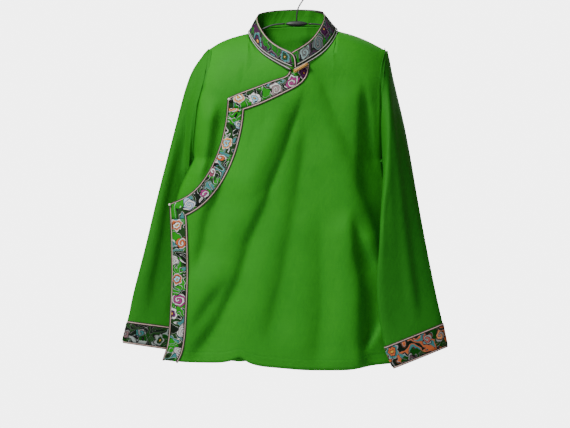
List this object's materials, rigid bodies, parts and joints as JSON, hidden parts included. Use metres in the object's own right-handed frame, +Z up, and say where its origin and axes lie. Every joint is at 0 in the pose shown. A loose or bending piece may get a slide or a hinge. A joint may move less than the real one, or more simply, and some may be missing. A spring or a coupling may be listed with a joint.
{
  "type": "tibetan shirt on hanger",
  "caption": "Side-closing long-sleeved shirt with a stand collar and brocade edging down one side and round the cuffs, hanging on a wire-hook hanger.",
  "frame": {"origin": "inside top of the hanger's wire hook, where a rail touches it", "axes": "+Z up, -Y the way the shirt's front faces, +X to the wearer's left, which is the right of the picture seen from the front"},
  "size_m": [0.7038, 0.1632, 0.8302],
  "materials": {
    "cloth": "plain woven green cotton, matt",
    "brocade": "woven brocade with clouds and flowers on green and black",
    "piping": "pale satin cord",
    "pearl": "white ball button",
    "loop": "orange gold satin loop",
    "steel": "plain steel wire",
    "plastic": "black hanger plastic"
  },
  "bodies": {
    "root": {"back": "cloth", "button_corner": "pearl", "button_side": "pearl", "collar_brocade": "brocade", "collar_piping_base": "piping", "collar_piping_middle": "piping", "collar_piping_top": "piping", "collar_stand": "cloth", "cuff_left": "brocade", "cuff_piping_lower_left": "piping", "cuff_piping_lower_right": "piping", "cuff_piping_upper_left": "piping", "cuff_piping_upper_right": "piping", "cuff_right": "brocade", "edging_piping_inner": "piping", "edging_piping_outer": "piping", "front_outer": "cloth", "front_under": "cloth", "hanger_arm_left": "plastic", "hanger_arm_right": "plastic", "hanger_hook": "steel", "hanger_hub": "plastic", "neck_loop": "loop", "sleeve_left": "cloth", "sleeve_right": "cloth", "trim_curve": "brocade", "trim_side": "brocade", "trim_slant": "brocade"}
  },
  "joints": []
}
